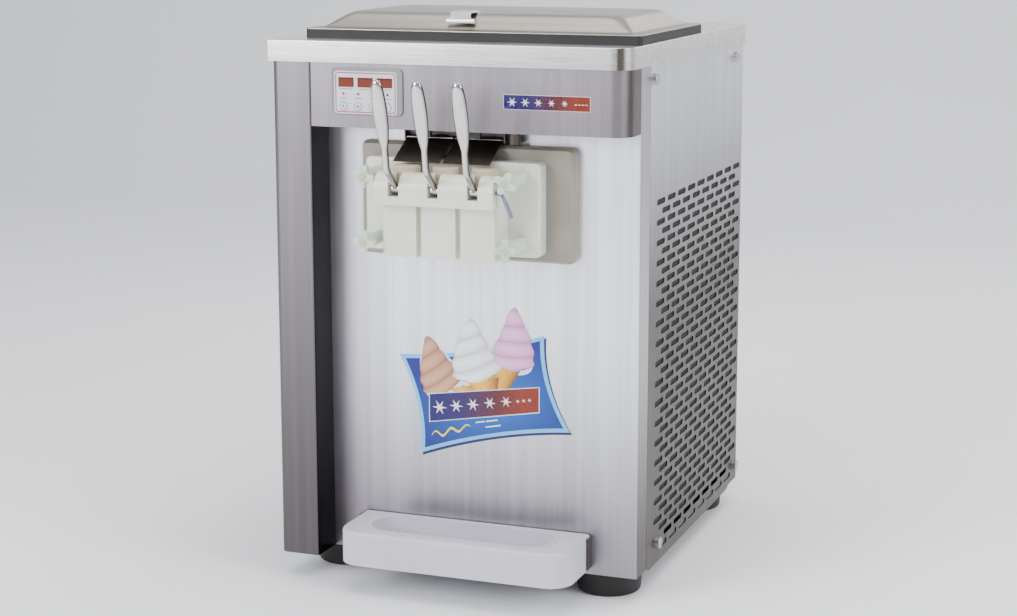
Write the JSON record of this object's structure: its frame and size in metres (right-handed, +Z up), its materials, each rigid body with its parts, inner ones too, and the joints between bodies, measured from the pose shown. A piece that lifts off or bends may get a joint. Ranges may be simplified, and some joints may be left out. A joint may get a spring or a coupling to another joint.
{
  "type": "ice cream maker",
  "caption": "Countertop soft-serve ice cream maker with draw levers on a white dispensing head, a keypad, a lift-off hopper lid, vented steel casing and a drip tray.",
  "frame": {"origin": "middle of the footprint on the worktop, under the whole machine's box", "axes": "+X to the right seen from the front, +Y to the back, +Z up"},
  "size_m": [0.55, 0.7475, 0.8335],
  "materials": {
    "brushed_steel": "vertical brushed grain",
    "lid_steel": "satin",
    "polished_steel": "polished",
    "galvanised_steel": "galvanised",
    "hopper_steel": "bright",
    "dark_steel": "dark satin",
    "rod_steel": "polished",
    "chrome": "polished",
    "nickel": "satin nickel",
    "ivory_plastic": "semi-matt acetal",
    "knob_plastic": "slightly translucent",
    "piston_plastic": "semi-matt",
    "beige_plastic": "semi-matt",
    "tray_plastic": "fine moulded",
    "white_plastic": "moulded",
    "black_plastic": "moulded",
    "grey_plastic": "moulded",
    "keypad_film": "printed film",
    "display_tint": "tinted window",
    "button_film": "embossed film",
    "black_rubber": "moulded",
    "seal_rubber": "silicone",
    "belt_rubber": "belt",
    "circuit_board": "lacquered",
    "cast_aluminium": "cast",
    "fin_aluminium": "fins",
    "motor_paint": "enamel",
    "compressor_paint": "enamel",
    "fan_plastic": "moulded",
    "copper": "drawn copper"
  },
  "bodies": {
    "root": {"base_pan": "galvanised_steel", "feet": "black_rubber", "inner_frame": "galvanised_steel", "left_column": "brushed_steel", "front_panel": "brushed_steel", "front_fascia": "brushed_steel", "left_side_panel": "brushed_steel", "right_side_panel": "brushed_steel", "rear_panel": "brushed_steel", "top_cover": "brushed_steel", "panel_screws": "nickel", "hoppers": "hopper_steel", "feed_tubes": "white_plastic", "cord_gland": "black_plastic", "head_backplate": "beige_plastic", "dispensing_door": "ivory_plastic", "cylinder_seals": "seal_rubber", "door_studs": "hopper_steel", "pivot_rod": "rod_steel", "switch_bracket": "dark_steel", "microswitches": "black_plastic", "control_bezel": "grey_plastic", "keypad": "keypad_film", "display_windows": "display_tint", "control_board": "circuit_board", "freezing_cylinders": "hopper_steel", "gearboxes": "cast_aluminium", "drive_motor": "motor_paint", "drive_belts": "belt_rubber", "compressor": "compressor_paint", "condenser": "fin_aluminium", "fan_motor": "motor_paint", "refrigerant_pipes": "copper", "tray_bracket": "dark_steel"},
    "lid": {"lid": "lid_steel", "lid_gasket": "black_rubber", "lid_handle": "polished_steel"},
    "motor_pulley": {"motor_pulley": "cast_aluminium"},
    "fan": {"fan": "fan_plastic"},
    "drip_tray": {"drip_tray": "tray_plastic"},
    "star_knob_upper_left": {"star_knob_upper_left": "knob_plastic"},
    "star_knob_upper_right": {"star_knob_upper_right": "knob_plastic"},
    "star_knob_lower_left": {"star_knob_lower_left": "knob_plastic"},
    "star_knob_lower_right": {"star_knob_lower_right": "knob_plastic"},
    "lever_left": {"lever_left": "chrome"},
    "piston_left": {"piston_left": "piston_plastic"},
    "lever_middle": {"lever_middle": "chrome"},
    "piston_middle": {"piston_middle": "piston_plastic"},
    "lever_right": {"lever_right": "chrome"},
    "piston_right": {"piston_right": "piston_plastic"},
    "switch_flap_left": {"switch_flap_left": "dark_steel"},
    "switch_flap_right": {"switch_flap_right": "dark_steel"},
    "button_1": {"button_1": "button_film"},
    "button_2": {"button_2": "button_film"},
    "button_3": {"button_3": "button_film"},
    "button_4": {"button_4": "button_film"},
    "beater_left": {"beater_left": "hopper_steel"},
    "gearbox_pulley_left": {"gearbox_pulley_left": "cast_aluminium"},
    "beater_right": {"beater_right": "hopper_steel"},
    "gearbox_pulley_right": {"gearbox_pulley_right": "cast_aluminium"}
  },
  "joints": [
    {"name": "lever_left_pull", "type": "hinge", "parent": "root", "child": "lever_left", "pos_m": [-0.0525, -0.30525, 0.596], "axis": [1, 0, 0], "range_deg": [0, 35]},
    {"name": "lever_middle_pull", "type": "hinge", "parent": "root", "child": "lever_middle", "pos_m": [0.006, -0.30525, 0.596], "axis": [1, 0, 0], "range_deg": [0, 35]},
    {"name": "lever_right_pull", "type": "hinge", "parent": "root", "child": "lever_right", "pos_m": [0.0645, -0.30525, 0.596], "axis": [1, 0, 0], "range_deg": [0, 35]},
    {"name": "piston_left_slide", "type": "slide", "parent": "root", "child": "piston_left", "axis": [0, 0, 1], "range_m": [0, 0.01052]},
    {"name": "piston_middle_slide", "type": "slide", "parent": "root", "child": "piston_middle", "axis": [0, 0, 1], "range_m": [0, 0.01052]},
    {"name": "piston_right_slide", "type": "slide", "parent": "root", "child": "piston_right", "axis": [0, 0, 1], "range_m": [0, 0.01052]},
    {"name": "switch_flap_left_tilt", "type": "hinge", "parent": "root", "child": "switch_flap_left", "pos_m": [-0.04, -0.21225, 0.657], "axis": [1, 0, 0], "range_deg": [-9.5, 0]},
    {"name": "switch_flap_right_tilt", "type": "hinge", "parent": "root", "child": "switch_flap_right", "pos_m": [0.035, -0.21225, 0.657], "axis": [1, 0, 0], "range_deg": [-9.5, 0]},
    {"name": "star_knob_upper_left_turn", "type": "hinge", "parent": "root", "child": "star_knob_upper_left", "pos_m": [-0.099, -0.27825, 0.611], "axis": [0, 1, 0], "continuous": true},
    {"name": "star_knob_upper_right_turn", "type": "hinge", "parent": "root", "child": "star_knob_upper_right", "pos_m": [0.111, -0.27825, 0.611], "axis": [0, 1, 0], "continuous": true},
    {"name": "star_knob_lower_left_turn", "type": "hinge", "parent": "root", "child": "star_knob_lower_left", "pos_m": [-0.099, -0.27825, 0.519], "axis": [0, 1, 0], "continuous": true},
    {"name": "star_knob_lower_right_turn", "type": "hinge", "parent": "root", "child": "star_knob_lower_right", "pos_m": [0.111, -0.27825, 0.519], "axis": [0, 1, 0], "continuous": true},
    {"name": "button_1_press", "type": "slide", "parent": "root", "child": "button_1", "axis": [0, 1, 0], "range_m": [0, 0.0008], "stiffness_N_per_m": 500},
    {"name": "button_2_press", "type": "slide", "parent": "root", "child": "button_2", "axis": [0, 1, 0], "range_m": [0, 0.0008], "stiffness_N_per_m": 500},
    {"name": "button_3_press", "type": "slide", "parent": "root", "child": "button_3", "axis": [0, 1, 0], "range_m": [0, 0.0008], "stiffness_N_per_m": 500},
    {"name": "button_4_press", "type": "slide", "parent": "root", "child": "button_4", "axis": [0, 1, 0], "range_m": [0, 0.0008], "stiffness_N_per_m": 500},
    {"name": "lid_lift", "type": "slide", "parent": "root", "child": "lid", "axis": [0, 0, 1], "range_m": [0, 0.15]},
    {"name": "drip_tray_pull", "type": "slide", "parent": "root", "child": "drip_tray", "axis": [0, -1, 0], "range_m": [0, 0.12]},
    {"name": "motor_spin", "type": "hinge", "parent": "root", "child": "motor_pulley", "pos_m": [0.006, 0.22775, 0.4], "axis": [0, 1, 0], "continuous": true},
    {"name": "gearbox_pulley_left_spin", "type": "hinge", "parent": "root", "child": "gearbox_pulley_left", "pos_m": [-0.0525, 0.22775, 0.562], "axis": [0, 1, 0], "continuous": true},
    {"name": "beater_left_spin", "type": "hinge", "parent": "root", "child": "beater_left", "pos_m": [-0.0525, -0.05825, 0.562], "axis": [0, 1, 0], "continuous": true},
    {"name": "gearbox_pulley_right_spin", "type": "hinge", "parent": "root", "child": "gearbox_pulley_right", "pos_m": [0.0645, 0.22775, 0.562], "axis": [0, 1, 0], "continuous": true},
    {"name": "beater_right_spin", "type": "hinge", "parent": "root", "child": "beater_right", "pos_m": [0.0645, -0.05825, 0.562], "axis": [0, 1, 0], "continuous": true},
    {"name": "fan_spin", "type": "hinge", "parent": "root", "child": "fan", "pos_m": [-0.162, 0.07175, 0.196], "axis": [1, 0, 0], "continuous": true}
  ],
  "couplings": [
    {"joint": "piston_left_slide", "follows": "lever_left_pull", "m_per_rad": 0.017229},
    {"joint": "piston_middle_slide", "follows": "lever_middle_pull", "m_per_rad": 0.017229},
    {"joint": "piston_right_slide", "follows": "lever_right_pull", "m_per_rad": 0.017229},
    {"joint": "switch_flap_left_tilt", "follows": "lever_left_pull", "ratio": -0.2714},
    {"joint": "switch_flap_right_tilt", "follows": "lever_right_pull", "ratio": -0.2714},
    {"joint": "gearbox_pulley_left_spin", "follows": "motor_spin", "ratio": 0.54167},
    {"joint": "beater_left_spin", "follows": "motor_spin", "ratio": 0.10833},
    {"joint": "gearbox_pulley_right_spin", "follows": "motor_spin", "ratio": 0.54167},
    {"joint": "beater_right_spin", "follows": "motor_spin", "ratio": 0.10833}
  ]
}
